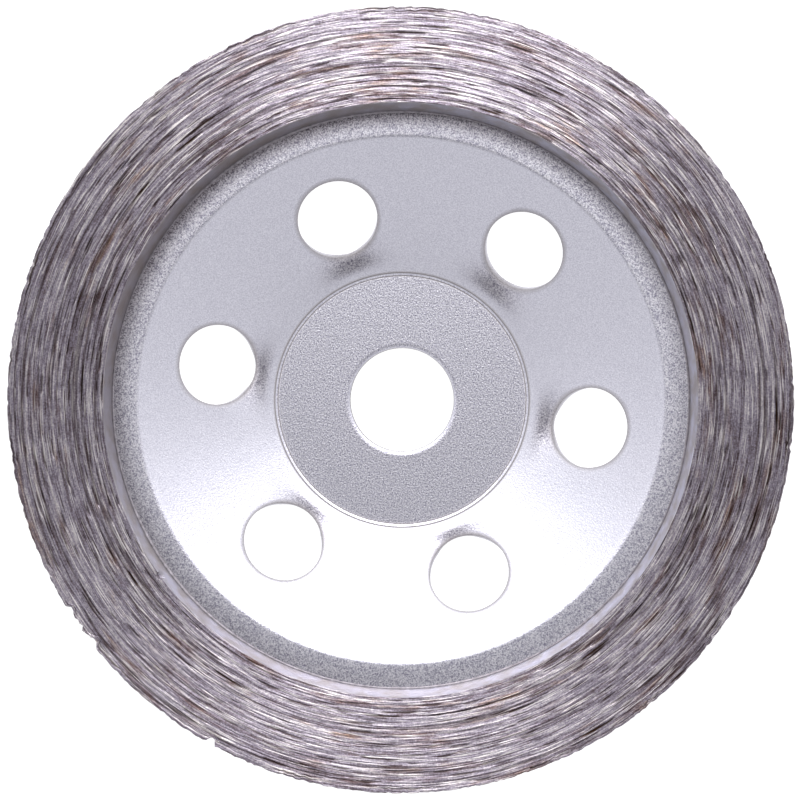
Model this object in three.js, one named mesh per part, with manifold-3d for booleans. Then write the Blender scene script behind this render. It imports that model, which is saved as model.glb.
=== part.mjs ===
// Diamond cup wheel, 150 mm: a pressed steel bowl with a wide continuous diamond rim
// that stands out a little past the edge of the steel.
// Millimetres, +Z up. The wheel lies on the back of its hub, abrasive face up.
// The origin is at the centre of the hub's back face, and Z is the spindle axis.
import * as THREE from 'three';
import { mergeVertices } from 'three/addons/utils/BufferGeometryUtils.js';
import Module from 'manifold-3d';

const wasm = await Module();
wasm.setup();

// Whole wheel
const wheelRadius = 75;
const wheelHeight = 18;
const turnSteps = 96;

// Pressed steel body
const sheetThickness = 2.6;
const boreRadius = 10;
const boreChamfer = 0.4;
const hubFlatRadius = 24;
const hubStepRadius = 24.6;
const hubSinkDepth = 0.4;
const webBorderRadius = 50.5;
const flangeFrontHeight = 12.6;
const flangeRadius = 73.5;
const webBowDepth = 0.35;
const bendRadius = 6;
const edgeChamfer = 0.4;

// Vent holes, punched square to the conical web, one of them on +X
const ventCount = 6;
const ventRadius = 7.7;
const ventPitchRadius = 36.3;
const ventSteps = 36;
const punchLength = 16;

// Rim: filler metal, a plain sintered base and the diamond layer on it
const brazeThickness = 0.2;
const brazeToeRadius = 55;
const brazeFilletHeight = 0.3;
const backingThickness = 1;
const rimFootRadius = 55.4;
const rimFaceInnerRadius = 56.7;

const steelMaterial = new THREE.MeshStandardMaterial({ color: 0xc3c3cd, roughness: 0.5, metalness: 0.8 });
const brazeMaterial = new THREE.MeshStandardMaterial({ color: 0xb9a06a, roughness: 0.45, metalness: 1 });
const backingMaterial = new THREE.MeshStandardMaterial({ color: 0x8d7f70, roughness: 0.6, metalness: 0.8 });
const diamondMaterial = new THREE.MeshStandardMaterial({ color: 0x7c7a80, roughness: 0.55, metalness: 0.7 });

// Slope of the web's front, from the top of the hub step to the edge of the flat band.
const webFootHeight = sheetThickness + hubSinkDepth;
const webSlope = Math.atan2(flangeFrontHeight - webFootHeight, webBorderRadius - hubStepRadius);

const brazeBase = flangeFrontHeight;
const backingBase = brazeBase + brazeThickness;
const diamondBase = backingBase + backingThickness;

// Turns a closed outline of (radius, height) points round the spindle axis. The outlines run up the
// inner wall first, and a lathe's faces point outwards when its points run the other way.
function turned(outline, curveSteps) {
  const points = outline.getPoints(curveSteps).reverse();
  const geometry = new THREE.LatheGeometry(points, turnSteps);
  geometry.rotateX(Math.PI / 2);
  return geometry;
}

// Front of the web at a radius: a cone whose middle hangs slightly below the straight line.
function webHeight(radius) {
  const share = (radius - hubStepRadius) / (webBorderRadius - hubStepRadius);
  const bow = 4 * webBowDepth * share * (1 - share);
  return webFootHeight + share * (flangeFrontHeight - webFootHeight) - bow;
}

function bodyOutline() {
  const half = Math.tan(webSlope / 2);
  const drop = sheetThickness / Math.cos(webSlope);
  const backHubCorner = hubStepRadius + (drop - webFootHeight) / Math.tan(webSlope);
  const backFlangeCorner = webBorderRadius + sheetThickness * half;
  const bendReach = bendRadius * half;
  const alongR = bendReach * Math.cos(webSlope);
  const alongZ = bendReach * Math.sin(webSlope);
  const flangeBack = flangeFrontHeight - sheetThickness;
  const middleRadius = (hubStepRadius + webBorderRadius) / 2;
  const outline = new THREE.Path();
  outline.moveTo(boreRadius, boreChamfer);
  outline.lineTo(boreRadius, sheetThickness - boreChamfer);
  outline.lineTo(boreRadius + boreChamfer, sheetThickness);
  outline.lineTo(hubFlatRadius, sheetThickness);
  outline.lineTo(hubStepRadius, webFootHeight);
  outline.quadraticCurveTo(
    middleRadius, 2 * webHeight(middleRadius) - (webFootHeight + flangeFrontHeight) / 2,
    webBorderRadius, flangeFrontHeight);
  outline.lineTo(flangeRadius - edgeChamfer, flangeFrontHeight);
  outline.lineTo(flangeRadius, flangeFrontHeight - edgeChamfer);
  outline.lineTo(flangeRadius, flangeBack + edgeChamfer);
  outline.lineTo(flangeRadius - edgeChamfer, flangeBack);
  outline.lineTo(backFlangeCorner + bendReach, flangeBack);
  outline.quadraticCurveTo(backFlangeCorner, flangeBack, backFlangeCorner - alongR, flangeBack - alongZ);
  outline.quadraticCurveTo(
    (backFlangeCorner + backHubCorner) / 2, flangeBack / 2 - 2 * webBowDepth,
    backHubCorner + alongR, alongZ);
  outline.quadraticCurveTo(backHubCorner, 0, backHubCorner - bendReach, 0);
  outline.lineTo(boreRadius + boreChamfer, 0);
  outline.closePath();
  return outline;
}

// A ring between two heights, with an upright outer wall and an inner wall that may lean.
function plainRing(innerBottom, innerTop, outer, bottom, top) {
  const outline = new THREE.Path();
  outline.moveTo(innerBottom, bottom);
  outline.lineTo(innerTop, top);
  outline.lineTo(outer, top);
  outline.lineTo(outer, bottom);
  outline.closePath();
  return outline;
}

// The rim's inner wall leans outwards from the filler metal to the abrasive face.
function wallRadius(height) {
  const share = (height - backingBase) / (wheelHeight - backingBase);
  return rimFootRadius + share * (rimFaceInnerRadius - rimFootRadius);
}

// The filler metal is a thin layer under the rim, run out into a fillet along the rim's foot.
function brazeOutline() {
  const filletTop = brazeBase + brazeFilletHeight;
  const outline = new THREE.Path();
  outline.moveTo(brazeToeRadius, brazeBase);
  outline.quadraticCurveTo(rimFootRadius, brazeBase, wallRadius(filletTop), filletTop);
  outline.lineTo(rimFootRadius, backingBase);
  outline.lineTo(flangeRadius, backingBase);
  outline.lineTo(flangeRadius, brazeBase);
  outline.closePath();
  return outline;
}

function toManifold(geometry) {
  const bare = geometry.clone();
  bare.deleteAttribute('normal');
  bare.deleteAttribute('uv');
  const merged = mergeVertices(bare, 1e-4);
  return new wasm.Manifold(new wasm.Mesh({
    numProp: 3,
    vertProperties: new Float32Array(merged.attributes.position.array),
    triVerts: new Uint32Array(merged.index.array),
  }));
}

function toGeometry(solid) {
  const cut = solid.getMesh();
  const geometry = new THREE.BufferGeometry();
  geometry.setAttribute('position', new THREE.BufferAttribute(new Float32Array(cut.vertProperties), 3));
  geometry.setIndex(new THREE.BufferAttribute(new Uint32Array(cut.triVerts), 1));
  geometry.computeVertexNormals();
  return geometry;
}

// A punch through the web at one angle, its axis square to the cone's front.
function ventPunch(angle) {
  const punch = new THREE.CylinderGeometry(ventRadius, ventRadius, punchLength, ventSteps);
  punch.rotateX(Math.PI / 2);
  punch.rotateY(-webSlope);
  punch.translate(ventPitchRadius, 0, webHeight(ventPitchRadius));
  punch.rotateZ(angle);
  return punch;
}

function bodyGeometry() {
  let solid = toManifold(turned(bodyOutline(), 6));
  for (let vent = 0; vent < ventCount; vent += 1) {
    solid = solid.subtract(toManifold(ventPunch(vent * 2 * Math.PI / ventCount)));
  }
  return toGeometry(solid);
}

function namedMesh(name, geometry, material) {
  const mesh = new THREE.Mesh(geometry, material);
  mesh.name = name;
  return mesh;
}

const wheel = new THREE.Group();
wheel.add(namedMesh('wheel_body', bodyGeometry(), steelMaterial));
const backingOutline = plainRing(
  rimFootRadius, wallRadius(diamondBase), wheelRadius, backingBase, diamondBase);
const diamondOutline = plainRing(
  wallRadius(diamondBase), rimFaceInnerRadius, wheelRadius, diamondBase, wheelHeight);
wheel.add(namedMesh('braze_layer', turned(brazeOutline(), 4), brazeMaterial));
wheel.add(namedMesh('rim_backing', turned(backingOutline, 1), backingMaterial));
wheel.add(namedMesh('diamond_rim', turned(diamondOutline, 1), diamondMaterial));

export default wheel;
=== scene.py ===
import math

import bpy
import numpy as np
from mathutils import Matrix, Vector


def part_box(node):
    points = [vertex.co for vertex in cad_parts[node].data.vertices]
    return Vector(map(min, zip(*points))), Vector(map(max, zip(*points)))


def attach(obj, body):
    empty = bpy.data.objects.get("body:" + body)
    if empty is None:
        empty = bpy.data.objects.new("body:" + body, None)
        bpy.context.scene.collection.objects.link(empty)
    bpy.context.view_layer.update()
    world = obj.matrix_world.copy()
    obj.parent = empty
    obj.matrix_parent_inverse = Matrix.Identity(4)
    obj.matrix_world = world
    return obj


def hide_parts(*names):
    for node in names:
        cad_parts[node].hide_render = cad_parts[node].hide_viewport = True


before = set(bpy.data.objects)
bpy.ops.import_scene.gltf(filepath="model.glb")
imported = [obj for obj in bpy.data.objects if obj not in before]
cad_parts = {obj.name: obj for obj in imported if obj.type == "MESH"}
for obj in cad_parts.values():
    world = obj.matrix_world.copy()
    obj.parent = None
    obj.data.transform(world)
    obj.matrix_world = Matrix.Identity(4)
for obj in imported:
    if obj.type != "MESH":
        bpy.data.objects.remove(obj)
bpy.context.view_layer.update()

# The frame gives every place: the flange, the rim's layers and the outside radius.
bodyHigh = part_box("wheel_body")[1]
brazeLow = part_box("braze_layer")[0]
backingLow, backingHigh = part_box("rim_backing")
rimLow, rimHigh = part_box("diamond_rim")
wheelRadius = rimHigh.x
flangeTop = bodyHigh.z
faceTop = rimHigh.z

# The pressed sheet. Rows are how far apart the loops of the mesh lie on each stretch of the front.
sheet = {
    "thickness": 0.0026,
    "boreRadius": 0.010,
    "boreEdge": 0.0005,
    "hubRadius": 0.0240,
    "stepRadius": 0.0246,
    "stepHeight": 0.0004,
    "ledgeRise": 0.0001,
    "ledgeWidth": 0.00047,
    "ledgeGap": 0.00005,
    "ledgeShares": (0, 0.2, 0.8, 1),
    "borderRadius": 0.0505,
    "webBow": 0.00035,
    "borderRounding": 0.0004,
    "borderDrop": 0.00003,
    "footRadius": 0.0554,
    "flangeEdge": 0.0004,
    "bendInner": 0.019,
    "bendOuter": 0.030,
    "bendFade": 0.003,
    "hubBendSoftness": 0.0007,
    "hubRow": 0.001,
    "webRow": 0.0008,
    "bandRow": 0.0009,
    "turnSteps": 288,
}

# Each vent starts as a square block of faces, is cut out, and is then warped round.
vents = {
    "count": 6,
    "radius": 0.0077,
    "pitchRadius": 0.0363,
    "blockColumns": 16,
    "blockRows": 16,
    "warpReach": 1.8,
    "edgeRounding": 0.00032,
    "dimpleDepth": 0.00064,
    "dimpleSpread": 0.0050,
    "dimpleStart": 0.0262,
    "dimpleReach": 0.0029,
    "dimpleEase": 0.3,
    "dimpleEnd": 0.0298,
    "dimpleFade": 0.006,
    "patternShift": 0.0008,
    "shiftAngle": math.radians(70),
}


def deselectAll():
    if bpy.context.object and bpy.context.object.mode != "OBJECT":
        bpy.ops.object.mode_set(mode="OBJECT")
    bpy.ops.object.select_all(action="DESELECT")


# One vertex is extruded from point to point of a section in the XZ plane, and left in edit mode.
def drawSection(name, points, closed):
    deselectAll()
    bpy.context.tool_settings.mesh_select_mode = (True, False, False)
    first = points[0]
    bpy.ops.mesh.primitive_plane_add(size=0.001, location=(first[0], 0, first[1]))
    piece = bpy.context.object
    piece.name = name
    bpy.ops.object.transform_apply(location=True, rotation=True, scale=True)
    bpy.ops.object.mode_set(mode="EDIT")
    bpy.ops.mesh.select_all(action="SELECT")
    bpy.ops.mesh.merge(type="CENTER")
    for here, there in zip(points, points[1:]):
        step = (there[0] - here[0], 0, there[1] - here[1])
        bpy.ops.mesh.extrude_vertices_move(TRANSFORM_OT_translate={"value": step})
    if closed:
        bpy.ops.mesh.select_all(action="SELECT")
        bpy.ops.mesh.edge_face_add()
        bpy.ops.mesh.delete(type="ONLY_FACE")
    return piece


# The section is spun once round the spindle, and the first and last copies are merged.
def spinSection(piece, steps):
    bpy.ops.mesh.select_all(action="SELECT")
    bpy.ops.mesh.spin(
        steps=steps, angle=math.tau, center=(0, 0, 0), axis=(0, 0, 1), use_auto_merge=True
    )
    bpy.ops.mesh.select_all(action="SELECT")
    bpy.ops.mesh.remove_doubles(threshold=0.000004)
    bpy.ops.mesh.normals_make_consistent(inside=False)
    bpy.ops.object.mode_set(mode="OBJECT")


# Picks faces by a mask while in object mode, and opens edit mode with just those selected.
def editFaces(piece, mask):
    deselectAll()
    piece.select_set(True)
    bpy.context.view_layer.objects.active = piece
    mesh = piece.data
    mesh.vertices.foreach_set("select", np.zeros(len(mesh.vertices), bool))
    mesh.edges.foreach_set("select", np.zeros(len(mesh.edges), bool))
    mesh.polygons.foreach_set("select", mask)
    bpy.context.tool_settings.mesh_select_mode = (False, False, True)
    bpy.ops.object.mode_set(mode="EDIT")


def readPoints(piece):
    points = np.empty(len(piece.data.vertices) * 3)
    piece.data.vertices.foreach_get("co", points)
    return points.reshape(-1, 3)


def writePoints(piece, points):
    piece.data.vertices.foreach_set("co", points.ravel())
    piece.data.update()


def evenSteps(start, end, spacing):
    count = max(1, round(abs(end - start) / spacing))
    return [start + (end - start) * step / count for step in range(count + 1)]


def quarterArc(centre, radius, startAngle, endAngle, count):
    angles = np.radians(np.linspace(startAngle, endAngle, count))
    return [(centre[0] + radius * math.cos(a), centre[1] + radius * math.sin(a)) for a in angles]


def smoothStep(share):
    share = np.clip(share, 0, 1)
    return share * share * (3 - 2 * share)


webFoot = sheet["thickness"] + sheet["stepHeight"]
webRise = flangeTop - webFoot
webRun = sheet["borderRadius"] - sheet["stepRadius"]


def webFront(radius):
    share = (radius - sheet["stepRadius"]) / webRun
    return webFoot + share * webRise - 4 * sheet["webBow"] * share * (1 - share)


# On its hub side each vent's edge was drawn down by the punch, so the web lies flatter there.
def ventDimple(x, y):
    radius = np.hypot(x, y)
    pitch = math.tau / vents["count"]
    angle = np.arctan2(y, x)
    offAngle = (angle + pitch / 2) % pitch - pitch / 2
    across = radius * offAngle
    valley = np.exp(-((across / vents["dimpleSpread"]) ** 2))
    rise = np.clip((radius - vents["dimpleStart"]) / vents["dimpleReach"], 0, 1)
    ease = vents["dimpleEase"]
    rise = np.where(rise < ease, rise**2 / (2 * ease), rise - ease / 2) / (1 - ease / 2)
    fade = 1 - smoothStep((radius - vents["dimpleEnd"]) / vents["dimpleFade"])
    return vents["dimpleDepth"] * valley * rise * fade


def frontSection():
    thickness = sheet["thickness"]
    hub = sheet["hubRadius"]
    points = [(radius, thickness) for radius in evenSteps(sheet["boreRadius"], hub - 0.0003, sheet["hubRow"])]
    points.append((hub, thickness))
    ledgeFoot = thickness + sheet["ledgeRise"]
    ledgeTop = ledgeFoot + sheet["ledgeWidth"] * webRise / webRun
    for share in sheet["ledgeShares"]:
        height = ledgeFoot + share * (ledgeTop - ledgeFoot)
        points.append((hub + sheet["ledgeGap"] + share * sheet["ledgeWidth"], height))
    points.append((sheet["stepRadius"], webFoot))
    innerRow = vents["pitchRadius"] - blockHalfSize()
    outerRow = vents["pitchRadius"] + blockHalfSize()
    border = sheet["borderRadius"]
    rounding = sheet["borderRounding"]
    webRadii = evenSteps(sheet["stepRadius"] + 0.0004, innerRow, sheet["webRow"])[:-1]
    webRadii += list(np.linspace(innerRow, outerRow, vents["blockRows"] + 1))
    webRadii += evenSteps(outerRow, border - rounding, sheet["webRow"])[1:]
    points += [(radius, webFront(radius)) for radius in webRadii]
    points.append((border, flangeTop - sheet["borderDrop"]))
    points += [(radius, flangeTop) for radius in evenSteps(border + rounding, bodyHigh.x, sheet["bandRow"])]
    return points


def blockHalfSize():
    columnAngle = math.tau / sheet["turnSteps"]
    return vents["pitchRadius"] * columnAngle * vents["blockColumns"] / 2


# Local place of a point beside its nearest vent: outwards, round the wheel, and which vent.
def besideVent(x, y):
    radius = np.hypot(x, y)
    pitch = math.tau / vents["count"]
    angle = np.arctan2(y, x)
    vent = np.rint(angle / pitch)
    off = angle - vent * pitch
    return radius - vents["pitchRadius"], vents["pitchRadius"] * off, vent * pitch


def openVents(piece):
    half = blockHalfSize()
    centres = np.array([polygon.center[:] for polygon in piece.data.polygons])
    outwards, around, _ = besideVent(centres[:, 0], centres[:, 1])
    inside = (np.abs(outwards) < half) & (np.abs(around) < half)
    editFaces(piece, inside)
    bpy.ops.mesh.delete(type="FACE")
    bpy.ops.object.mode_set(mode="OBJECT")


# The square openings and the rows round them are eased into circles square to the web.
def roundVents(piece):
    half = blockHalfSize()
    points = readPoints(piece)
    outwards, around, vent = besideVent(points[:, 0], points[:, 1])
    ring = np.maximum(np.abs(outwards), np.abs(around)) / half
    reach = np.hypot(outwards, around)
    near = (ring < vents["warpReach"]) & (reach > 1e-6)
    slope = math.atan2(webRise, webRun)
    roundR = ring * vents["radius"]
    safeReach = np.where(near, reach, 1)
    roundOut = np.where(near, outwards / safeReach, 0) * roundR * math.cos(slope)
    roundSide = np.where(near, around / safeReach, 0) * roundR
    blend = 1 - smoothStep((ring - 1) / (vents["warpReach"] - 1))
    newOut = outwards + (roundOut - outwards) * blend
    newSide = around + (roundSide - around) * blend
    radius = vents["pitchRadius"] + newOut
    # beside the vent the sideways distance is straight, further out it follows the turn
    straightX = radius * np.cos(vent) - newSide * np.sin(vent)
    straightY = radius * np.sin(vent) + newSide * np.cos(vent)
    bentAngle = vent + newSide / vents["pitchRadius"]
    bentX = radius * np.cos(bentAngle)
    bentY = radius * np.sin(bentAngle)
    shiftX = vents["patternShift"] * math.cos(vents["shiftAngle"])
    shiftY = vents["patternShift"] * math.sin(vents["shiftAngle"])
    x = bentX + (straightX + shiftX - bentX) * blend
    y = bentY + (straightY + shiftY - bentY) * blend
    points[near, 0] = x[near]
    points[near, 1] = y[near]
    spread = np.hypot(points[:, 0], points[:, 1])
    webEnd = sheet["borderRadius"] - sheet["borderRounding"] + 0.00001
    onWeb = (spread > sheet["stepRadius"] + 0.0003) & (spread < webEnd)
    points[onWeb, 2] = webFront(spread[onWeb]) - ventDimple(points[onWeb, 0], points[onWeb, 1])
    writePoints(piece, points)


# The back follows the front at the sheet's thickness, but bends softly where the hub meets the web.
def easeHubBend(piece, frontCount):
    points = readPoints(piece)
    radius = np.hypot(points[:, 0], points[:, 1])
    onBend = (radius > sheet["bendInner"]) & (radius < sheet["bendOuter"])
    back = (np.arange(len(points)) >= frontCount) & onBend
    slope = math.atan2(webRise, webRun)
    cone = webFront(radius) - sheet["thickness"] / math.cos(slope)
    soft = (cone + np.hypot(cone, sheet["hubBendSoftness"])) / 2
    lowered = soft - ventDimple(points[:, 0], points[:, 1])
    share = smoothStep((sheet["bendOuter"] - radius) / sheet["bendFade"])
    shaped = points[:, 2] + (np.maximum(lowered, 0) - points[:, 2]) * share
    points[back, 2] = shaped[back]
    writePoints(piece, points)


# Bevels the sharp edges that lie between two radii.
def roundSharpEdges(piece, nearest, furthest, width, segments):
    editFaces(piece, np.zeros(len(piece.data.polygons), bool))
    bpy.ops.mesh.select_mode(type="EDGE")
    bpy.ops.mesh.edges_select_sharp(sharpness=math.radians(52))
    bpy.ops.object.mode_set(mode="OBJECT")
    points = readPoints(piece)
    picked = np.zeros(len(piece.data.edges), bool)
    ends = np.zeros(len(piece.data.edges) * 2, int)
    piece.data.edges.foreach_get("select", picked)
    piece.data.edges.foreach_get("vertices", ends)
    middle = points[ends.reshape(-1, 2)].mean(axis=1)
    radius = np.hypot(middle[:, 0], middle[:, 1])
    picked &= (radius > nearest) & (radius < furthest)
    editFaces(piece, np.zeros(len(piece.data.polygons), bool))
    bpy.ops.object.mode_set(mode="OBJECT")
    piece.data.edges.foreach_set("select", picked)
    bpy.context.tool_settings.mesh_select_mode = (False, True, False)
    bpy.ops.object.mode_set(mode="EDIT")
    bpy.ops.mesh.bevel(offset=width, segments=segments, affect="EDGES", clamp_overlap=True)
    bpy.ops.object.mode_set(mode="OBJECT")


def markVertices(piece, name, values):
    mark = piece.data.attributes.new(name, "FLOAT", "POINT")
    mark.data.foreach_set("value", values.astype(np.float32))


# Distance from the middle of the nearest vent, measured in the plane of the web.
def fromVent(points):
    _, _, vent = besideVent(points[:, 0], points[:, 1])
    shift = vents["patternShift"]
    x = points[:, 0] - vents["pitchRadius"] * np.cos(vent) - shift * math.cos(vents["shiftAngle"])
    y = points[:, 1] - vents["pitchRadius"] * np.sin(vent) - shift * math.sin(vents["shiftAngle"])
    outwards = (x * np.cos(vent) + y * np.sin(vent)) / math.cos(math.atan2(webRise, webRun))
    return np.hypot(outwards, y * np.cos(vent) - x * np.sin(vent))


# Where the finish changes on the body. Each value from 0 to 1 is kept on the mesh's points.
finish = {
    # Painted shade lines round each vent's edge and at the hub's step.
    "ventLine": 0.7,
    "ventLineOut": 0.00005,
    "ventLineWidth": 0.00013,
    "ledgeLine": 0.95,
    "ledgeMiddle": 0.0003,
    "ledgeLineOut": 0.00018,
    "ledgeLineWidth": 0.00005,
    "ledgeHalfWidth": 0.00031,
    # The darker patch on the hub side of each vent: its width, where it rises and where it fades.
    "patchSpread": 0.0050,
    "patchStart": 0.0252,
    "patchRise": 0.0022,
    "patchEnd": 0.0296,
    "patchFall": 0.0035,
    "ventPatchDarkness": 0.55,
    # The band's painted shadow of the rim's wall: its reach from the wall's foot, its mean and swing round
    # the turn, and the direction where it is deepest.
    "wallShadowReach": 0.0046,
    "wallShadowMean": 0.55,
    "wallShadowSwing": 0.45,
    "wallShadowAngle": math.radians(130),
}


# The level faces, and the web beside the vents, get a coarse salt-and-pepper colour. It is partly blast grain
# and partly painted sparkle for the glints that level faces catch.
# The vents' edges, the hub's step and the bore get a painted shade line. The web on the hub side of each vent
# is darker.
# Towards the rim, the band gets a painted shadow of the rim's wall, deepest on the key light's side.
def markPaint(piece):
    points = readPoints(piece)
    radius = np.hypot(points[:, 0], points[:, 1])
    angle = np.arctan2(points[:, 1], points[:, 0])
    # painted shade lines round each vent's edge, at the hub's step and over the bore's wall
    offVent = np.abs(fromVent(points) - vents["radius"] - finish["ventLineOut"])
    edge = finish["ventLine"] * smoothStep(1.3 - offVent / finish["ventLineWidth"])
    offLedge = np.abs(radius - sheet["hubRadius"] - finish["ledgeMiddle"])
    ledge = smoothStep((offLedge - finish["ledgeLineOut"]) / finish["ledgeLineWidth"])
    edge = np.maximum(edge, finish["ledgeLine"] * ledge * (offLedge < finish["ledgeHalfWidth"]))
    edge = np.maximum(edge, radius < sheet["boreRadius"] + 0.00004)
    onHub = smoothStep((sheet["stepRadius"] - 0.0002 - radius) / 0.0003)
    onHub *= smoothStep((radius - sheet["boreRadius"] - 0.0002) / 0.0003)
    onBand = smoothStep((radius - sheet["borderRadius"] + 0.0002) / 0.0004)
    _, around, _ = besideVent(points[:, 0], points[:, 1])
    # darker patch on the hub side of each vent
    darkPatch = np.exp(-((around * radius / vents["pitchRadius"] / finish["patchSpread"]) ** 2))
    darkPatch *= smoothStep((radius - finish["patchStart"]) / finish["patchRise"])
    darkPatch *= 1 - smoothStep((radius - finish["patchEnd"]) / finish["patchFall"])
    # painted shadow of the rim's wall on the band: darker towards the wall's foot, deepest towards the key
    # light
    wallShadow = smoothStep((radius - sheet["footRadius"] + finish["wallShadowReach"]) / finish["wallShadowReach"])
    wallShadow *= finish["wallShadowMean"] + finish["wallShadowSwing"] * np.cos(angle - finish["wallShadowAngle"])
    # the level faces and the patches by the vents get the painted sparkle over their grain
    markVertices(piece, "gritAndPaintedGlint", np.maximum(np.maximum(onHub, onBand), darkPatch))
    # the darker patches by the vents and the painted shadow of the rim's wall share one mark
    markVertices(piece, "ventPatchAndWallShadow", np.maximum(darkPatch * finish["ventPatchDarkness"], wallShadow))
    markVertices(piece, "edgeShadeLine", edge)


def makeBody():
    piece = drawSection("wheelBody", frontSection(), closed=False)
    spinSection(piece, sheet["turnSteps"])
    openVents(piece)
    roundVents(piece)
    upward = sum(polygon.normal.z * polygon.area for polygon in piece.data.polygons)
    if upward < 0:
        piece.data.flip_normals()
    solid = piece.modifiers.new("sheetThickness", "SOLIDIFY")
    solid.thickness = sheet["thickness"]
    solid.offset = -1
    solid.use_even_offset = True
    solid.use_quality_normals = True
    deselectAll()
    piece.select_set(True)
    bpy.context.view_layer.objects.active = piece
    frontCount = len(piece.data.vertices)
    bpy.ops.object.modifier_apply(modifier=solid.name)
    easeHubBend(piece, frontCount)
    # the bore's edges, then the vents', then the flange's
    roundSharpEdges(piece, 0, 0.015, sheet["boreEdge"], 2)
    roundSharpEdges(piece, 0.026, 0.046, vents["edgeRounding"], 3)
    roundSharpEdges(piece, bodyHigh.x - 0.003, wheelRadius, sheet["flangeEdge"], 3)
    markPaint(piece)
    print("body pressed:", len(piece.data.polygons), "faces")
    return piece


wheelBody = makeBody()

# The sintered ring. A blur is how far the grain is smeared, in rows across the face and in
# columns along the turn. Starts and rises are levels of grain, in standard deviations.
rim = {
    "wallTopRadius": 0.0567,
    "innerEdge": 0.00025,
    "outerEdge": 0.0003,
    "rowSpacing": 0.00015,
    "turnSteps": 680,
    "seed": 41,
    "fineDepth": 0.000035,
    "fineBlur": (0.75, 3.2),
    "broadDepth": 0.00003,
    "broadBlur": (7.0, 9.0),
    "grooveDepth": 0.00016,
    "grooveBlur": (0.9, 18.0),
    "grooveStart": 0.7,
    "grooveRise": 1.0,
    "pitDepth": 0.00017,
    "pitBlur": (0.7, 3.0),
    "pitStart": 1.2,
    "pitRise": 0.7,
    "edgeCrumble": 0.00015,
    "crumbRows": 8,
    "crumbBlur": (1.2, 0.4),
    "crumbReach": 0.0022,
    "nickRadius": 0.0578,
    "nickHeight": 0.0155,
}

# Knocks in the rim: angle in degrees, half width in degrees, depth into the edge.
outerChips = [
    (222.4, 0.8, 0.0013),
    (224.5, 0.8, 0.0011),
    (227.4, 0.9, 0.0016),
    (250.6, 0.7, 0.0012),
    (197.0, 0.6, 0.0003),
    (88.0, 0.5, 0.00025),
    (3.0, 0.6, 0.0003),
]
innerNicks = [(225.8, 0.5, 0.0008), (162.0, 0.4, 0.0002)]


# Seeded grain smeared along the turn and a little across it. It joins up where the turn ends.
def streakGrain(rows, columns, blur, seed):
    grain = np.random.default_rng(seed).standard_normal((rows, columns))
    across = np.fft.fftfreq(rows)[:, None] * blur[0]
    along = np.fft.fftfreq(columns)[None, :] * blur[1]
    smeared = np.fft.fft2(grain) * np.exp(-2 * math.pi**2 * (across**2 + along**2))
    field = np.fft.ifft2(smeared).real
    return field / field.std()


# The column of a turn's grain that lies at each angle.
def grainColumn(angle, columns):
    return np.rint(angle / math.tau * columns).astype(int) % columns


def notchDepth(angle, notches):
    depth = np.zeros_like(angle)
    degrees = np.degrees(angle) % 360
    for centre, halfWidth, deep in notches:
        off = np.abs((degrees - centre + 180) % 360 - 180) / halfWidth
        depth = np.maximum(depth, deep * smoothStep((1.1 - off) / 0.15))
    return depth


# How far the rim's outer wall has crumbled inwards, at an angle and a height.
def edgeLoss(angle, height):
    rows = rim["crumbRows"]
    column = grainColumn(angle, rim["turnSteps"])
    crumbs = streakGrain(rows, rim["turnSteps"], rim["crumbBlur"], rim["seed"] + 5)
    share = np.clip((height - backingLow.z) / (faceTop - backingLow.z), 0, 1)
    row = np.rint(share * (rows - 1)).astype(int)
    crumble = rim["edgeCrumble"] * np.clip(crumbs[row, column] + 0.4, 0, 3)
    ragged = 0.65 + 0.35 * crumbs[(row + 3) % rows, column].clip(-1, 1)
    return crumble * (0.25 + 0.75 * share**2) + notchDepth(angle, outerChips) * ragged


# Pulls the outer wall and the edge of the face inwards, and keeps all of it inside the wheel's radius.
def crumbleOuterEdge(points):
    radius = np.hypot(points[:, 0], points[:, 1])
    angle = np.arctan2(points[:, 1], points[:, 0]) % math.tau
    loss = edgeLoss(angle, points[:, 2])
    reach = smoothStep((radius - (wheelRadius - rim["crumbReach"])) / 0.0020)
    scale = np.minimum(1 - loss * reach / radius, (wheelRadius - 0.000002) / radius)
    points[:, 0] *= scale
    points[:, 1] *= scale


def wallRadius(height):
    share = (height - backingLow.z) / (faceTop - backingLow.z)
    return sheet["footRadius"] + share * (rim["wallTopRadius"] - sheet["footRadius"])


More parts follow.
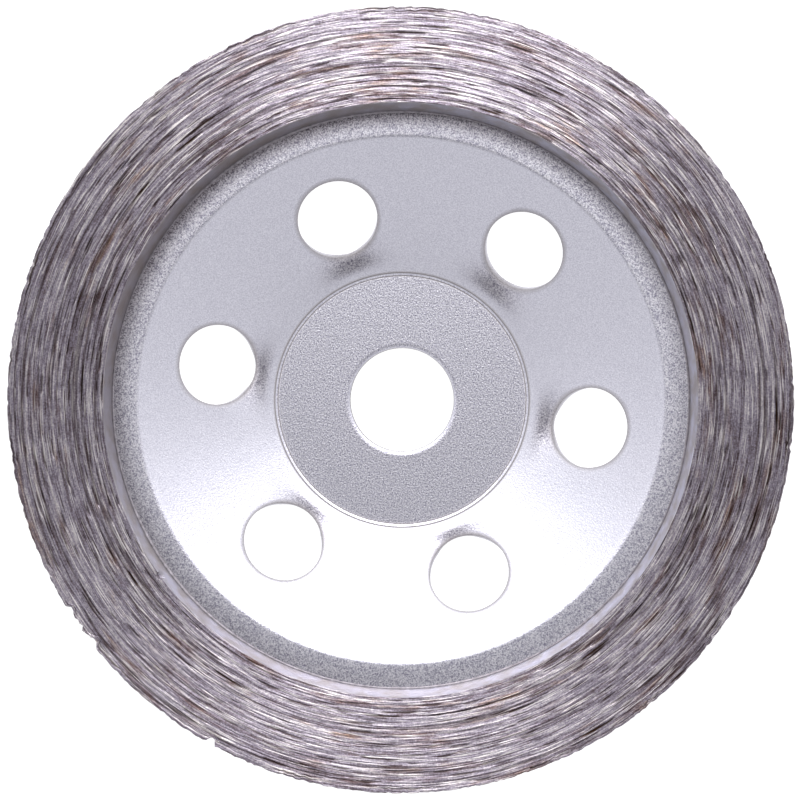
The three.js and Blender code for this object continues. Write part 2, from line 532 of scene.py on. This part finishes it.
# Dressing scores and pits sunk into the face, with a painted shade for each, darker the deeper it is, kept on
# the points.
def scoreFace(piece):
    points = readPoints(piece)
    radius = np.hypot(points[:, 0], points[:, 1])
    angle = np.arctan2(points[:, 1], points[:, 0]) % math.tau
    spacing = rim["rowSpacing"]
    rows = round((wheelRadius - rim["wallTopRadius"]) / spacing) + 8
    columns = rim["turnSteps"]
    row = np.rint((radius - rim["wallTopRadius"]) / spacing).astype(int).clip(0, rows - 1)
    column = grainColumn(angle, columns)
    seed = rim["seed"]
    fine = streakGrain(rows, columns, rim["fineBlur"], seed)
    medium = streakGrain(rows, columns, rim["grooveBlur"], seed + 1)
    broad = streakGrain(rows, columns, rim["broadBlur"], seed + 2)
    coarse = streakGrain(rows, columns, rim["pitBlur"], seed + 3)
    grooves = smoothStep((medium - rim["grooveStart"]) / rim["grooveRise"])
    pits = smoothStep((coarse - rim["pitStart"]) / rim["pitRise"])
    depth = rim["fineDepth"] * fine + rim["broadDepth"] * broad
    depth += rim["grooveDepth"] * grooves + rim["pitDepth"] * pits
    # the shallowest half per cent stays level with the face
    depth = np.maximum(depth - np.percentile(depth, 0.5), 0)
    edgeStart = faceTop - rim["outerEdge"]
    onFace = points[:, 2] > edgeStart - 0.00001
    share = np.clip((points[:, 2] - edgeStart) / rim["outerEdge"], 0, 1)
    points[onFace, 2] -= (depth[row, column] * share)[onFace]
    # painted shade in the hollows, more in the pits than in the scores
    darkness = np.where(onFace, (grooves * 0.5 + pits * 0.7)[row, column].clip(0, 1) * share, 0)
    nick = notchDepth(angle, innerNicks) * smoothStep((rim["nickRadius"] - radius) / 0.001)
    nick *= smoothStep((points[:, 2] - rim["nickHeight"]) / 0.002)
    points[:, 0] *= 1 + nick / radius
    points[:, 1] *= 1 + nick / radius
    crumbleOuterEdge(points)
    writePoints(piece, points)
    markVertices(piece, "scoreShade", darkness)


def makeRim():
    wallTop = rim["wallTopRadius"]
    inner = rim["innerEdge"]
    outer = rim["outerEdge"]
    wallRow = 0.0007
    outerRow = 0.0006
    points = [(wallRadius(height), height) for height in evenSteps(rimLow.z, faceTop - inner, wallRow)]
    points += quarterArc((wallTop + inner, faceTop - inner), inner, 180, 90, 4)[1:]
    faceRadii = evenSteps(wallTop + inner, wheelRadius - outer, rim["rowSpacing"])[1:]
    points += [(radius, faceTop) for radius in faceRadii]
    points += quarterArc((wheelRadius - outer, faceTop - outer), outer, 90, 0, 4)[1:]
    points += [(wheelRadius, height) for height in evenSteps(faceTop - outer, rimLow.z, outerRow)[1:]]
    piece = drawSection("diamondRim", points, closed=True)
    spinSection(piece, rim["turnSteps"])
    scoreFace(piece)
    print("rim pressed and dressed:", len(piece.data.polygons), "faces")
    return piece


backing = {
    "wallRow": 0.0003,
    "topRow": 0.003,
    "undersideRow": 0.0004,
    "edgeHeight": 0.00015,
    "edgeWidth": 0.00012,
    "undersideStart": 0.0003,
}


def makeBacking():
    low = backingLow.z
    high = backingHigh.z
    row = backing["wallRow"]
    points = [(wallRadius(height), height) for height in evenSteps(low, high, row)]
    topRadii = evenSteps(points[-1][0], wheelRadius, backing["topRow"])[1:]
    points += [(radius, high) for radius in topRadii]
    points += [(wheelRadius, height) for height in evenSteps(high, low + backing["edgeHeight"], row)[1:]]
    points.append((wheelRadius - backing["edgeWidth"], low))
    lowRadii = evenSteps(wheelRadius - backing["undersideStart"], bodyHigh.x, backing["undersideRow"])
    points += [(radius, low) for radius in lowRadii]
    piece = drawSection("rimBacking", points, closed=True)
    spinSection(piece, rim["turnSteps"])
    moved = readPoints(piece)
    crumbleOuterEdge(moved)
    writePoints(piece, moved)
    print("backing pressed:", len(piece.data.polygons), "faces")
    return piece


solder = {
    "toeRadius": 0.0550,
    "filmHeight": 0.0002,
    "filletHeight": 0.0003,
    "filletPower": 2.0,
    "filletShares": (0, 0.2, 0.4, 0.6, 0.8, 1),
    "bead": 0.00035,
    "hang": 0.0003,
    "waver": 0.00012,
    "waverBlur": (0, 3.5),
    "toeWaver": 0.00008,
    "toeBlur": (0, 9.0),
    "turnSteps": 520,
}


# A thin film under the rim, with a concave fillet at the rim's foot and a small bead at the outer edge.
def solderSection():
    base = brazeLow.z
    edge = bodyHigh.x
    toe = solder["toeRadius"]
    wallEnd = wallRadius(base + solder["filletHeight"])
    points = []
    for share in solder["filletShares"]:
        height = base + share ** solder["filletPower"] * solder["filletHeight"]
        points.append((toe + share * (wallEnd - toe), height))
    filmTop = base + solder["filmHeight"]
    points += [
        (sheet["footRadius"], filmTop),
        (edge + solder["bead"], filmTop),
        (edge + solder["bead"] * 0.45, filmTop - 0.0001),
        (edge + solder["bead"] * 0.2, base),
        (edge + 0.00002, base - solder["hang"]),
        (edge - 0.0003, base - 0.00002),
    ]
    return points


def makeSolder():
    steps = solder["turnSteps"]
    piece = drawSection("solderLayer", solderSection(), closed=True)
    spinSection(piece, steps)
    moved = readPoints(piece)
    radius = np.hypot(moved[:, 0], moved[:, 1])
    column = grainColumn(np.arctan2(moved[:, 1], moved[:, 0]) % math.tau, steps)
    beadWaver = streakGrain(1, steps, solder["waverBlur"], rim["seed"] + 9)[0][column].clip(-2, 2)
    toeWaver = streakGrain(1, steps, solder["toeBlur"], rim["seed"] + 10)[0][column].clip(-2, 2)
    onBead = radius > bodyHigh.x + 0.00003
    onToe = smoothStep((sheet["footRadius"] - radius) / (sheet["footRadius"] - solder["toeRadius"]))
    shift = np.where(onBead, beadWaver * solder["waver"], 0) + toeWaver * solder["toeWaver"] * onToe
    moved[:, 0] *= 1 + shift / radius
    moved[:, 1] *= 1 + shift / radius
    writePoints(piece, moved)
    print("solder run in:", len(piece.data.polygons), "faces")
    return piece


diamondRim = makeRim()
rimBacking = makeBacking()
solderLayer = makeSolder()


# Turns an sRGB hex code to the linear colour that a node takes.
def linearColour(code):
    parts = [int(code[place : place + 2], 16) / 255 for place in (1, 3, 5)]
    return [p / 12.92 if p <= 0.04045 else ((p + 0.055) / 1.055) ** 2.4 for p in parts] + [1]


# Adds a node with its settings, its inputs as values or as links, and a colour ramp's stops.
def addNode(tree, kind, settings=None, inputs=None, stops=()):
    made = tree.nodes.new("ShaderNode" + kind)
    for name, value in (settings or {}).items():
        setattr(made, name, value)
    for name, value in (inputs or {}).items():
        if isinstance(value, bpy.types.Node):
            value = next(socket for socket in value.outputs if socket.enabled)
        if isinstance(value, bpy.types.NodeSocket):
            tree.links.new(value, made.inputs[name])
        else:
            made.inputs[name].default_value = value
    for _ in stops[2:]:
        made.color_ramp.elements.new(0.5)
    for number, (place, colour) in enumerate(stops):
        made.color_ramp.elements[number].position = place
        made.color_ramp.elements[number].color = linearColour(colour)
    return made


# Settings that many nodes share. A Mix node's colours are its inputs 6 and 7.
multiply = {"operation": "MULTIPLY"}
add = {"operation": "ADD"}
dotProduct = {"operation": "DOT_PRODUCT"}
ofColours = {"data_type": "RGBA"}
eased = {"interpolation_type": "SMOOTHSTEP"}


def newMaterial(name):
    material = bpy.data.materials.new(name)
    material.use_nodes = True
    material.node_tree.nodes.clear()
    return material, material.node_tree


def finishMaterial(tree, inputs):
    shader = addNode(tree, "BsdfPrincipled", None, inputs)
    addNode(tree, "OutputMaterial", None, {"Surface": shader})


# A noise scale that gives grains of this many millimetres.
def perMillimetre(size):
    return 1 / (size * 0.001)


# Object coordinates rolled into place along the turn, place across it and height, in noise units.
# The sizes are a streak's length and width in millimetres.
def turnedCoordinates(tree, alongSize, acrossSize):
    place = addNode(tree, "TexCoord").outputs["Object"]
    flat = addNode(tree, "VectorMath", multiply, {0: place, 1: (1, 1, 0)})
    spread = addNode(tree, "VectorMath", {"operation": "LENGTH"}, {0: flat})
    facing = addNode(tree, "VectorMath", {"operation": "NORMALIZE"}, {0: flat})
    along = bond["middleRadius"] * 1000 / alongSize
    around = addNode(tree, "VectorMath", {"operation": "SCALE"}, {0: facing, "Scale": along})
    height = addNode(tree, "SeparateXYZ", None, {"Vector": place}).outputs["Z"]
    level = addNode(tree, "Math", add, {0: spread, 1: height})
    deep = addNode(tree, "Math", multiply, {0: level, 1: perMillimetre(acrossSize)})
    lift = addNode(tree, "CombineXYZ", None, {"Z": deep})
    return addNode(tree, "VectorMath", add, {0: around, 1: lift})


# Grain, speck and grit are in millimetres. The pits that blasting leaves are really about 0.1 mm
# across, and are drawn coarser so that they show.
coat = {
    "grain": 0.3,
    "grainDepth": 0.000075,
    "grainStrength": 0.55,
    "roughness": 0.37,
    "roughnessSwing": 0.06,
    "speck": 0.24,
    "light": "#DEDDE6",
    "dark": "#C4C3CE",
    "grit": 0.26,
    # the light specks of the level faces' colour are painted glints
    "paintedGlintLight": "#FBF9FF",
    "gritDark": "#7F7B98",
    "gritShare": 0.85,
    # the darker patches by the vents, and the painted shadow of the rim's wall on the band
    "bare": "#40363A",
    "bareLight": "#A8A2AA",
    "bareShare": 0.97,
    # the colour of the painted shade line at the edges
    "edge": "#A6A2A2",
    "edgeRoughness": 0.95,
}


# Silver lacquer over grit-blasted steel: a satin sheen on the web; on the level faces, a coarse
# salt-and-pepper colour that is partly blast grain and partly painted sparkle for the glints that level faces
# catch; darker patches by the vents; a painted shadow of the rim's wall on the band; and a painted shade line
# at the edges.
def silverLacquer():
    material, tree = newMaterial("silverLacquerOnBlastedSteel")
    place = addNode(tree, "TexCoord").outputs["Object"]
    grainSize = {"Scale": perMillimetre(coat["grain"]), "Detail": 2.5, "Roughness": 0.55}
    grain = addNode(tree, "TexNoise", None, {"Vector": place, **grainSize})
    speckSize = {"Scale": perMillimetre(coat["speck"]), "Detail": 2}
    flake = addNode(tree, "TexNoise", None, {"Vector": place, **speckSize})
    gritSize = {"Scale": perMillimetre(coat["grit"]), "Detail": 3, "Roughness": 0.6}
    grit = addNode(tree, "TexNoise", None, {"Vector": place, **gritSize})
    satin = addNode(tree, "ValToRGB", None, {"Fac": flake}, [(0.35, coat["dark"]), (0.65, coat["light"])])
    # salt-and-pepper colour: dark blast grain, with light specks as painted glints
    salt = [(0.34, coat["gritDark"]), (0.6, coat["paintedGlintLight"])]
    salted = addNode(tree, "ValToRGB", None, {"Fac": grit}, salt)
    # dark tones for the patches by the vents and for the painted shadow of the rim's wall
    darkTonesAndShade = addNode(tree, "ValToRGB", None, {"Fac": grit}, [(0.38, coat["bare"]), (0.66, coat["bareLight"])])
    coarse = addNode(tree, "Attribute", {"attribute_name": "gritAndPaintedGlint"}).outputs["Fac"]
    darkPatch = addNode(tree, "Attribute", {"attribute_name": "ventPatchAndWallShadow"}).outputs["Fac"]
    edge = addNode(tree, "Attribute", {"attribute_name": "edgeShadeLine"}).outputs["Fac"]
    coarseShare = addNode(tree, "Math", multiply, {0: coarse, 1: coat["gritShare"]})
    darkPatchShare = addNode(tree, "Math", multiply, {0: darkPatch, 1: coat["bareShare"]})
    flats = addNode(tree, "Mix", ofColours, {"Factor": coarseShare, 6: satin, 7: salted})
    painted = addNode(tree, "Mix", ofColours, {"Factor": darkPatchShare, 6: flats, 7: darkTonesAndShade})
    # painted shade line at the edges, greyer and duller
    colour = addNode(tree, "Mix", ofColours, {"Factor": edge, 6: painted, 7: linearColour(coat["edge"])})
    smoothest = coat["roughness"] - coat["roughnessSwing"]
    roughest = coat["roughness"] + coat["roughnessSwing"]
    uneven = addNode(tree, "MapRange", None, {"Value": grain, "To Min": smoothest, "To Max": roughest})
    dulled = {"Factor": edge, "A": uneven, "B": coat["edgeRoughness"]}
    sheen = addNode(tree, "Mix", {"data_type": "FLOAT"}, dulled)
    relief = {"Height": grain, "Distance": coat["grainDepth"], "Strength": coat["grainStrength"]}
    bump = addNode(tree, "Bump", None, relief)
    finishMaterial(tree, {"Base Color": colour, "Metallic": 1.0, "Roughness": sheen, "Normal": bump})
    return material


# Streaks are (length, width) in millimetres.
bond = {
    "roughness": 0.42,
    "anisotropy": 0.8,
    "anisotropyTurn": 0.25,
    "middleRadius": 0.066,
    "smear": (4.5, 0.25),
    "swell": 0.00016,
    "scratch": 0.00008,
    "scratchSize": (2.2, 0.13),
    "grit": 0.34,
    "gritShare": 0.22,
    "score": (26.0, 0.4),
    "scoreShare": 0.33,
    "metal": [(0.35, "#41322C"), (0.44, "#7B7079"), (0.5, "#9A92A0"), (0.56, "#BCB4BB"), (0.64, "#F0E9E6")],
    "line": "#F6F0EE",
    "lineSize": (8.0, 0.2),
    "lineShare": 0.8,
    "rust": "#C9AF9C",
    "rustSize": (14.0, 2.4),
    "rustShare": 1.0,
    # the colour of the painted shade in the scores and pits
    "torn": "#3C2B22",
}


# Sintered iron-bronze bond full of diamond grit, dressed bare: thin bright smeared ridges beside torn scores
# that carry painted shade, broken up by the grit, with a few browner patches.
def dressedBond():
    material, tree = newMaterial("dressedDiamondBond")
    smears = turnedCoordinates(tree, *bond["smear"])
    tint = addNode(tree, "TexNoise", None, {"Vector": smears, "Scale": 1.0, "Detail": 4, "Roughness": 0.7})
    place = addNode(tree, "TexCoord").outputs["Object"]
    gritSize = {"Scale": perMillimetre(bond["grit"]), "Detail": 2}
    grit = addNode(tree, "TexNoise", None, {"Vector": place, **gritSize})
    scoreTurns = turnedCoordinates(tree, *bond["score"])
    scores = addNode(tree, "TexNoise", None, {"Vector": scoreTurns, "Scale": 1.0})
    torn = addNode(tree, "Math", multiply, {0: grit, 1: bond["gritShare"]})
    scored = addNode(tree, "Math", multiply, {0: scores, 1: bond["scoreShare"]})
    smearShare = 1 - bond["gritShare"] - bond["scoreShare"]
    smeared = addNode(tree, "Math", multiply, {0: tint, 1: smearShare})
    rough = addNode(tree, "Math", add, {0: smeared, 1: torn})
    level = addNode(tree, "Math", add, {0: rough, 1: scored})
    ridge = addNode(tree, "ValToRGB", None, {"Fac": level}, bond["metal"])

    patches = turnedCoordinates(tree, *bond["rustSize"])
    stain = addNode(tree, "TexNoise", None, {"Vector": patches, "Scale": 1.0, "Detail": 4, "Roughness": 0.65})
    rustSpread = {"From Min": 0.5, "From Max": 0.72, "To Max": bond["rustShare"]}
    rust = addNode(tree, "MapRange", eased, {"Value": stain, **rustSpread})
    darken = {"data_type": "RGBA", "blend_type": "MULTIPLY"}
    browned = addNode(tree, "Mix", darken, {"Factor": rust, 6: ridge, 7: linearColour(bond["rust"])})
    lines = turnedCoordinates(tree, *bond["lineSize"])
    bright = addNode(tree, "TexNoise", None, {"Vector": lines, "Scale": 1.0, "Detail": 2})
    lineSpread = {"From Min": 0.57, "From Max": 0.67, "To Max": bond["lineShare"]}
    shine = addNode(tree, "MapRange", eased, {"Value": bright, **lineSpread})
    lined = addNode(tree, "Mix", ofColours, {"Factor": shine, 6: browned, 7: linearColour(bond["line"])})
    # painted shade in the scores and pits
    depth = addNode(tree, "Attribute", {"attribute_name": "scoreShade"}).outputs["Fac"]
    colour = addNode(tree, "Mix", ofColours, {"Factor": depth, 6: lined, 7: linearColour(bond["torn"])})

    broad = addNode(tree, "TexNoise", None, {"Vector": smears, "Scale": 1.0, "Detail": 1})
    swell = addNode(tree, "Bump", None, {"Height": broad, "Distance": bond["swell"], "Strength": 1.0})
    scratches = turnedCoordinates(tree, *bond["scratchSize"])
    fine = addNode(tree, "TexNoise", None, {"Vector": scratches, "Scale": 1.0, "Detail": 2})
    relief = {"Height": fine, "Distance": bond["scratch"], "Strength": 1.0, "Normal": swell}
    bump = addNode(tree, "Bump", None, relief)
    finishMaterial(
        tree,
        {
            "Base Color": colour,
            "Metallic": 1.0,
            "Roughness": bond["roughness"],
            "Anisotropic": bond["anisotropy"],
            "Anisotropic Rotation": bond["anisotropyTurn"],
            "Normal": bump,
        },
    )
    return material


plain = {"grain": 0.5, "dark": "#6E655E", "light": "#9A9088", "relief": 0.00004}


# Plain pressed and sintered bronze bond, without grit: duller and browner than the dressed face.
def plainBond():
    material, tree = newMaterial("sinteredBronzeBond")
    place = addNode(tree, "TexCoord").outputs["Object"]
    grainSize = {"Scale": perMillimetre(plain["grain"]), "Detail": 5}
    grain = addNode(tree, "TexNoise", None, {"Vector": place, **grainSize})
    colour = addNode(tree, "ValToRGB", None, {"Fac": grain}, [(0.3, plain["dark"]), (0.7, plain["light"])])
    bump = addNode(tree, "Bump", None, {"Height": grain, "Distance": plain["relief"], "Strength": 0.6})
    finishMaterial(tree, {"Base Color": colour, "Metallic": 0.9, "Roughness": 0.5, "Normal": bump})
    return material


tarnish = {"lump": 0.9, "dark": "#7B767B", "light": "#A5A0A6", "relief": 0.00005}


# Silver solder that has run and set, tarnished grey by the torch: dull and softly lumpy.
def silverSolder():
    material, tree = newMaterial("meltedSilverSolder")
    place = addNode(tree, "TexCoord").outputs["Object"]
    lumpSize = {"Scale": perMillimetre(tarnish["lump"]), "Detail": 4}
    lumps = addNode(tree, "TexNoise", None, {"Vector": place, **lumpSize})
    stops = [(0.3, tarnish["dark"]), (0.7, tarnish["light"])]
    colour = addNode(tree, "ValToRGB", None, {"Fac": lumps}, stops)
    bump = addNode(tree, "Bump", None, {"Height": lumps, "Distance": tarnish["relief"], "Strength": 0.5})
    finishMaterial(tree, {"Base Color": colour, "Metallic": 1.0, "Roughness": 0.5, "Normal": bump})
    return material


# Each darker side is its direction in degrees, the cosine of the angle from it where it starts, and how dark
# it gets. The side at 155 degrees, turned away from the key light, gets painted shade, and the side at 268
# degrees is made a little darker and browner. Sizes are in millimetres, the relief in metres.
spray = {
    "dust": 3.5,
    "dull": "#BAB4B2",
    "bright": "#D0CFDA",
    "bare": "#7E706A",
    "darkerSides": [(155, 0.2, 0.55), (268, 0.6, 0.36)],
    "grain": 0.6,
    "relief": 0.00012,
}


# Lacquer overspray on the porous bond of the wall: duller and dustier than on the blasted steel, and darker
# and browner towards two sides, with painted shade on the side turned away from the key light and a plain
# darker tone on the side facing it.
def wallLacquer():
    material, tree = newMaterial("silverLacquerOversprayOnBond")
    place = addNode(tree, "TexCoord").outputs["Object"]
    dustSize = {"Scale": perMillimetre(spray["dust"]), "Detail": 5}
    dust = addNode(tree, "TexNoise", None, {"Vector": place, **dustSize})
    stops = [(0.35, spray["dull"]), (0.62, spray["bright"])]
    colour = addNode(tree, "ValToRGB", None, {"Fac": dust}, stops)
    facing = addNode(tree, "VectorMath", {"operation": "NORMALIZE"}, {0: place})
    bare = linearColour(spray["bare"])
    # painted shade on the side turned from the key light, a plain darker tone on the other
    for degrees, start, bareness in spray["darkerSides"]:
        side = (math.cos(math.radians(degrees)), math.sin(math.radians(degrees)), 0)
        towards = addNode(tree, "VectorMath", dotProduct, {0: facing, 1: side})
        darkened = addNode(tree, "MapRange", eased, {"Value": towards, "From Min": start, "To Max": bareness})
        colour = addNode(tree, "Mix", ofColours, {"Factor": darkened, 6: colour, 7: bare})
    grainSize = {"Scale": perMillimetre(spray["grain"]), "Detail": 4}
    grain = addNode(tree, "TexNoise", None, {"Vector": place, **grainSize})
    bump = addNode(tree, "Bump", None, {"Height": grain, "Distance": spray["relief"], "Strength": 0.7})
    finishMaterial(tree, {"Base Color": colour, "Metallic": 0.85, "Roughness": 0.48, "Normal": bump})
    return material


# Opal acrylic table lit from below: even white with hardly a shadow.
def opalTable():
    material, tree = newMaterial("opalAcrylicTable")
    glow = {"Emission Color": linearColour("#FFFFFF"), "Emission Strength": 0.95}
    finishMaterial(tree, {"Base Color": linearColour("#7E7E7E"), "Roughness": 0.6, **glow})
    return material


overspray = wallLacquer()


# The first material covers the piece, and the second the inner wall, lacquered along with the body.
def paintInnerWall(piece, main, wallEdge, wallTop):
    piece.data.materials.append(main)
    piece.data.materials.append(overspray)
    centres = np.array([polygon.center[:] for polygon in piece.data.polygons])
    radius = np.hypot(centres[:, 0], centres[:, 1])
    editFaces(piece, (radius < wallEdge) & (centres[:, 2] < wallTop))
    piece.active_material_index = 1
    bpy.ops.object.material_slot_assign()
    bpy.ops.object.mode_set(mode="OBJECT")


wheelBody.data.materials.append(silverLacquer())
paintInnerWall(diamondRim, dressedBond(), rim["wallTopRadius"] + 0.00004, faceTop - 0.00015)
paintInnerWall(rimBacking, plainBond(), wallRadius(backingHigh.z) + 0.00001, faceTop)
solderLayer.data.materials.append(silverSolder())
print("materials on")

pieces = [
    (wheelBody, "wheel_body", "steel_body"),
    (solderLayer, "braze_layer", "braze"),
    (rimBacking, "rim_backing", "plain_bond"),
    (diamondRim, "diamond_rim", "diamond_bond"),
]
for piece, node, slot in pieces:
    deselectAll()
    piece.select_set(True)
    bpy.context.view_layer.objects.active = piece
    bpy.ops.object.shade_smooth_by_angle(angle=math.radians(35))
    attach(piece, "root")
    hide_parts(node)
print("pieces smoothed and fixed to the wheel")

deselectAll()
bpy.ops.mesh.primitive_plane_add(size=8, location=(0, 0, 0))
table = bpy.context.object
table.name = "table"
table.data.materials.append(opalTable())

# The wheel fills this share of the view. The key light's turn is counted from the view's right.
studio = {
    "viewTurn": math.radians(9.6),
    "distance": 0.97,
    "sideways": 0.0234,
    "upwards": 0.0029,
    "fill": 0.985,
    "sensor": 36,
    "keyRadiance": 5.8,
    "keyWidth": 0.52,
    "keyHeight": 0.48,
    "keyElevation": math.radians(50),
    "keyDistance": 0.75,
    "keyTurn": math.radians(87),
    "horizon": 0.16,
    "ceiling": 1.06,
    "ceilingStart": math.radians(16),
    "ceilingFull": math.radians(44),
    "zenith": 0.12,
    "zenithStart": math.radians(36),
    "zenithFull": math.radians(18),
    "windowRise": 0.68,
    "paper": (0.97, 0.97, 1.0, 1),
}

# Right and up as the camera sees them, in the wheel's frame.
turn = studio["viewTurn"]
right = Vector((math.cos(turn), math.sin(turn), 0))
up = Vector((-math.sin(turn), math.cos(turn), 0))


def aim(thing, place, target, above):
    forward = (target - place).normalized()
    side = forward.cross(above).normalized()
    top = side.cross(forward)
    turned = Matrix((side, top, -forward)).transposed().to_4x4()
    thing.matrix_world = Matrix.Translation(place) @ turned


def addSoftbox():
    width = studio["keyWidth"]
    height = studio["keyHeight"]
    light = bpy.data.lights.new("keySoftbox", "AREA")
    light.shape = "RECTANGLE"
    light.size = width
    light.size_y = height
    light.energy = studio["keyRadiance"] * math.pi * width * height
    lamp = bpy.data.objects.new("keySoftbox", light)
    bpy.context.scene.collection.objects.link(lamp)
    side = right * math.cos(studio["keyTurn"]) + up * math.sin(studio["keyTurn"])
    elevation = studio["keyElevation"]
    direction = side * math.cos(elevation) + Vector((0, 0, 1)) * math.sin(elevation)
    aim(lamp, direction * studio["keyDistance"], Vector((0, 0, 0.01)), Vector((0, 0, 1)))
    lamp.visible_camera = False


# A pale ceiling over dark walls, brighter towards the window side, and dark above, round the camera.
# The camera itself sees plain white paper behind the table.
def makeWorld():
    world = bpy.data.worlds.new("studio")
    world.use_nodes = True
    bpy.context.scene.world = world
    tree = world.node_tree
    tree.nodes.clear()
    direction = addNode(tree, "TexCoord").outputs["Generated"]
    height = addNode(tree, "VectorMath", dotProduct, {0: direction, 1: (0, 0, 1)})
    fromWalls = {"From Min": math.sin(studio["ceilingStart"]), "From Max": math.sin(studio["ceilingFull"])}
    lower = addNode(tree, "MapRange", eased, {"Value": height, **fromWalls})
    fromTop = {"From Min": math.cos(studio["zenithStart"]), "From Max": math.cos(studio["zenithFull"])}
    upper = addNode(tree, "MapRange", eased, {"Value": height, **fromTop, "To Min": 1, "To Max": 0})
    walls = {"To Min": studio["horizon"], "To Max": studio["ceiling"]}
    low = addNode(tree, "MapRange", None, {"Value": lower, **walls})
    high = addNode(tree, "MapRange", None, {"Value": upper, "To Min": studio["zenith"] / studio["ceiling"]})
    dome = addNode(tree, "Math", multiply, {0: low, 1: high})
    windowSide = addNode(tree, "VectorMath", dotProduct, {0: direction, 1: tuple(up)})
    windowSpread = {"From Min": -0.06, "From Max": 0.6, "To Max": studio["windowRise"]}
    window = addNode(tree, "MapRange", None, {"Value": windowSide, **windowSpread})
    glow = addNode(tree, "Math", multiply, {0: window, 1: lower})
    room = addNode(tree, "Math", add, {0: dome, 1: glow})
    seen = addNode(tree, "LightPath").outputs["Is Camera Ray"]
    level = addNode(tree, "Mix", {"data_type": "FLOAT"}, {"Factor": seen, "A": room, "B": 1.0})
    back = addNode(tree, "Background", None, {"Color": studio["paper"], "Strength": level})
    addNode(tree, "OutputWorld", None, {"Surface": back})


addSoftbox()
makeWorld()

camera = bpy.data.objects.new("camera", bpy.data.cameras.new("camera"))
bpy.context.scene.collection.objects.link(camera)
bpy.context.scene.camera = camera
facePlane = Vector((0, 0, faceTop))
eye = facePlane + right * studio["sideways"] + up * studio["upwards"] + Vector((0, 0, studio["distance"]))
aim(camera, eye, facePlane, up)
camera.data.sensor_width = studio["sensor"]
camera.data.lens = studio["sensor"] / 2 * studio["distance"] * studio["fill"] / wheelRadius
camera.data.clip_start = 0.01
camera.data.clip_end = 20
bpy.context.scene.view_settings.view_transform = "Standard"
print("table, lights and camera set")
